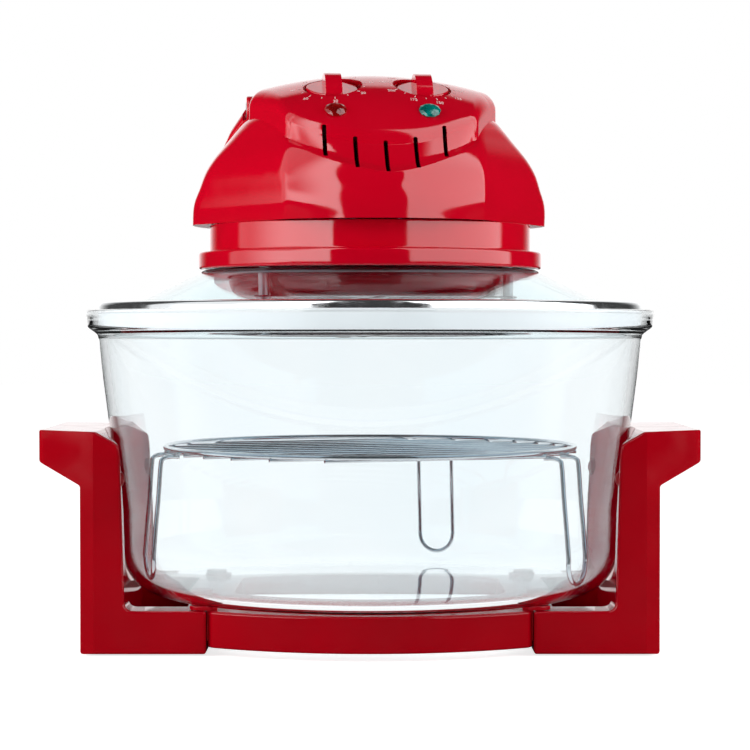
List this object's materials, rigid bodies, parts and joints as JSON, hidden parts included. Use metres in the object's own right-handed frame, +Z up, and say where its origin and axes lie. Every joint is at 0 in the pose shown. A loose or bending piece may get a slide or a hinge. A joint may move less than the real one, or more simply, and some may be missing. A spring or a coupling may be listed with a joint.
{
  "type": "halogen oven",
  "caption": "Countertop halogen oven: glass bowl with wire rack in a bracketed plastic stand, and a domed heater head with knobs and a folding safety handle on a glass lid.",
  "frame": {"origin": "centre of the bounding box in plan, on the table under the rubber feet", "axes": "+Z up along the bowl's axis, -Y towards the user, +X to the user's right through the right bracket"},
  "size_m": [0.3734, 0.3286, 0.3313],
  "materials": {
    "head_plastic": "glossy red moulding",
    "stand_plastic": "glossy dark red moulding",
    "bumper_rubber": "smooth red rubber",
    "foot_rubber": "smooth black rubber",
    "bowl_glass": "clear, polished",
    "lid_glass": "clear, polished",
    "heater_glass": "clear quartz with a coil inside",
    "red_lens": "faceted clear red",
    "teal_lens": "faceted clear teal",
    "rack_chrome": "bright chrome plate",
    "bolt_chrome": "bright chrome plate",
    "polished_steel": "polished sheet",
    "zinc_steel": "zinc plated",
    "aluminium": "bare pressed sheet",
    "ceramic": "unglazed white",
    "silicone": "translucent grey silicone",
    "white_plastic": "plain white moulding",
    "black_plastic": "plain black moulding"
  },
  "bodies": {
    "stand": {"stand_ring": "stand_plastic", "side_bracket_left": "stand_plastic", "side_bracket_right": "stand_plastic", "wall_bumper_front_left": "bumper_rubber", "wall_bumper_back_left": "bumper_rubber", "wall_bumper_front_right": "bumper_rubber", "wall_bumper_back_right": "bumper_rubber", "bowl_pad_front_left": "bumper_rubber", "bowl_pad_back_left": "bumper_rubber", "bowl_pad_front_right": "bumper_rubber", "bowl_pad_back_right": "bumper_rubber", "bracket_screw_front_left": "zinc_steel", "bracket_screw_back_left": "zinc_steel", "bracket_screw_front_right": "zinc_steel", "bracket_screw_back_right": "zinc_steel", "rubber_foot_front_left": "foot_rubber", "rubber_foot_back_left": "foot_rubber", "rubber_foot_front_right": "foot_rubber", "rubber_foot_back_right": "foot_rubber"},
    "bowl": {"glass_bowl": "bowl_glass"},
    "rack": {"rack_grid": "rack_chrome", "rack_leg_back": "rack_chrome", "rack_leg_right": "rack_chrome", "rack_leg_left": "rack_chrome"},
    "lid": {"lid_glass": "lid_glass", "lid_rim": "polished_steel", "lid_seal": "silicone", "head_base": "head_plastic", "head_cover": "head_plastic", "cover_screw_front": "zinc_steel", "cover_screw_right": "zinc_steel", "cover_screw_left": "zinc_steel", "cord_inlet": "black_plastic", "timer_body": "white_plastic", "thermostat_body": "ceramic", "timer_lamp_lens": "red_lens", "heat_lamp_lens": "teal_lens", "timer_lamp_holder": "white_plastic", "heat_lamp_holder": "white_plastic", "handle_pin_left": "zinc_steel", "handle_pin_right": "zinc_steel", "handle_switch": "black_plastic", "clamp_ring": "zinc_steel", "heater_pan": "polished_steel", "fan_guard": "polished_steel", "guard_bolt_left": "bolt_chrome", "guard_bolt_right": "bolt_chrome", "guard_bolt_back": "bolt_chrome", "heater_tube": "heater_glass", "heater_end_left": "ceramic", "heater_end_right": "ceramic", "motor": "zinc_steel"},
    "timer_dial": {"timer_knob": "head_plastic"},
    "thermostat_dial": {"thermostat_knob": "head_plastic"},
    "handle": {"carry_handle": "head_plastic"},
    "fan": {"fan_shaft": "zinc_steel", "hot_air_fan": "aluminium", "cooling_fan": "black_plastic"}
  },
  "joints": [
    {"name": "bowl_lift", "type": "slide", "parent": "stand", "child": "bowl", "axis": [0, 0, 1], "range_m": [0, 0.15]},
    {"name": "rack_lift", "type": "slide", "parent": "bowl", "child": "rack", "axis": [0, 0, 1], "range_m": [0, 0.07]},
    {"name": "lid_lift", "type": "slide", "parent": "bowl", "child": "lid", "axis": [0, 0, 1], "range_m": [0, 0.25]},
    {"name": "timer_turn", "type": "hinge", "parent": "lid", "child": "timer_dial", "pos_m": [-0.02138, -0.04247, 0.32153], "axis": [-0.0385, 0.3664, -0.9297], "range_deg": [0, 300]},
    {"name": "thermostat_turn", "type": "hinge", "parent": "lid", "child": "thermostat_dial", "pos_m": [0.02974, -0.03709, 0.32153], "axis": [-0.0385, 0.3664, -0.9297], "range_deg": [0, 270]},
    {"name": "handle_fold", "type": "hinge", "parent": "lid", "child": "handle", "pos_m": [-0.00125, 0.01193, 0.311], "axis": [0.9945, 0.1045, 0], "range_deg": [0, 115]},
    {"name": "fan_spin", "type": "hinge", "parent": "lid", "child": "fan", "pos_m": [0, 0, 0.208], "axis": [0, 0, 1], "continuous": true}
  ]
}
